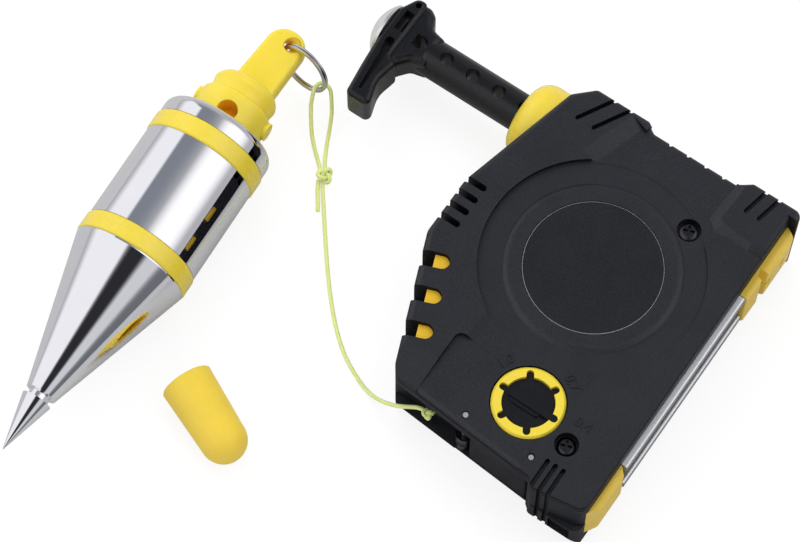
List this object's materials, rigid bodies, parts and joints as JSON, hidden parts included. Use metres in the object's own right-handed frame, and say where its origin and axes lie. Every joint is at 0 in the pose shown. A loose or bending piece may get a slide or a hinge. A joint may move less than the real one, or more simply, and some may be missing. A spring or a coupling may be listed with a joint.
{
  "type": "plumb bob setter",
  "caption": "Handheld plumb-bob setter: recoiling cord reel with magnetic base, pin drive handle, brake dial and lever, corded to a steel plumb bob with its tip cap off.",
  "frame": {"origin": "on the reel's flat rear face, on the spool's axis", "axes": "+Z along the spool axis out of the front face, +X towards the magnetic base, +Y towards the pin drive's side"},
  "size_m": [0.168, 0.176, 0.035],
  "materials": {
    "bob_chrome": "polished and plated",
    "brake_rubber": "matt",
    "bumper_yellow": "moulded, soft",
    "bush_plastic": "smooth eyelet",
    "cap_yellow": "soft moulded, satin",
    "carrier_plastic": "moulded",
    "case_shell": "fine moulded texture, matt",
    "chassis_yellow": "moulded, satin",
    "collar_yellow": "moulded, slightly translucent",
    "dial_yellow": "moulded",
    "foot_yellow": "moulded, satin",
    "friction_rubber": "matt",
    "handle_black": "moulded, satin",
    "head_yellow": "moulded, slightly translucent",
    "knob_black": "moulded",
    "label_black": "glossy printed film",
    "lever_black": "moulded, ribbed thumb face",
    "line_braid": "tight braid",
    "lining_felt": "felt",
    "magnet_plating": "nickel plated",
    "needle_steel": "hardened and ground",
    "pin_steel": "turned",
    "ring_steel": "nickel plated",
    "roller_plastic": "moulded",
    "screw_black": "black oxide",
    "shoe_plastic": "moulded",
    "spool_plastic": "moulded",
    "spring_steel": "spring temper, rolled",
    "strike_steel": "turned and brushed",
    "stud_plastic": "moulded",
    "yoke_steel": "ground edges"
  },
  "bodies": {
    "case": {"front_cover": "case_shell", "rear_cover": "case_shell", "chassis": "chassis_yellow", "rod_collar": "collar_yellow", "rod_friction_ring": "friction_rubber", "upper_foot": "foot_yellow", "lower_foot": "foot_yellow", "base_yokes": "yoke_steel", "base_magnets": "magnet_plating", "magnet_back_plate": "yoke_steel", "case_screws": "screw_black", "label_disc": "label_black", "spool_axle": "pin_steel", "spool_washer": "pin_steel", "guide_pin": "pin_steel", "lever_pin": "pin_steel", "exit_bush": "bush_plastic", "line_feed": "line_braid", "stop_knot": "line_braid", "line_run": "line_braid", "loop_knot": "line_braid", "line_tail": "line_braid", "line_loop": "line_braid", "split_ring": "ring_steel", "bob_head": "head_yellow", "head_stud": "stud_plastic", "tip_cap": "cap_yellow", "shoe_pin": "pin_steel"},
    "handle": {"t_handle": "handle_black", "strike_cap": "strike_steel", "needle_carrier": "carrier_plastic", "needles": "needle_steel", "carrier_screw": "pin_steel"},
    "spool_drum": {"spool": "spool_plastic", "wound_line": "line_braid", "recoil_spring": "spring_steel", "spring_cover": "spring_steel"},
    "roller": {"guide_roller": "roller_plastic"},
    "lever": {"brake_lever": "lever_black", "brake_pad": "brake_rubber"},
    "dial": {"dial_knob": "knob_black", "dial_ring": "dial_yellow"},
    "shoe": {"brake_shoe": "shoe_plastic", "shoe_lining": "lining_felt"},
    "bob": {"bob_body": "bob_chrome", "upper_bumper_ring": "bumper_yellow", "lower_bumper_ring": "bumper_yellow", "bob_tip": "bob_chrome"}
  },
  "joints": [
    {"name": "handle_slide", "type": "slide", "parent": "case", "child": "handle", "axis": [1, 0, 0], "range_m": [0, 0.014]},
    {"name": "spool_spin", "type": "hinge", "parent": "case", "child": "spool_drum", "pos_m": [0, 0, 0], "axis": [0, 0, 1], "continuous": true},
    {"name": "roller_spin", "type": "hinge", "parent": "case", "child": "roller", "pos_m": [-0.0049, -0.0546, 0], "axis": [0, 0, 1], "continuous": true},
    {"name": "lever_press", "type": "hinge", "parent": "case", "child": "lever", "pos_m": [0.0162, -0.0546, 0], "axis": [0, 0, -1], "range_deg": [0, 5], "stiffness_Nm_per_rad": 0.4, "springref_deg": -2.86},
    {"name": "dial_turn", "type": "hinge", "parent": "case", "child": "dial", "pos_m": [0.00705, -0.0422, 0], "axis": [0, 0, 1], "range_deg": [0, 140]},
    {"name": "shoe_swing", "type": "hinge", "parent": "case", "child": "shoe", "pos_m": [0.01665, -0.0312, 0], "axis": [0, 0, -1], "range_deg": [0, 4.8]},
    {"name": "bob_swivel", "type": "hinge", "parent": "case", "child": "bob", "pos_m": [-0.1114, -0.0196, 0.0175], "axis": [0.0593, -0.9982, 0], "continuous": true}
  ],
  "couplings": [
    {"joint": "shoe_swing", "follows": "dial_turn", "ratio": 0.034286}
  ]
}
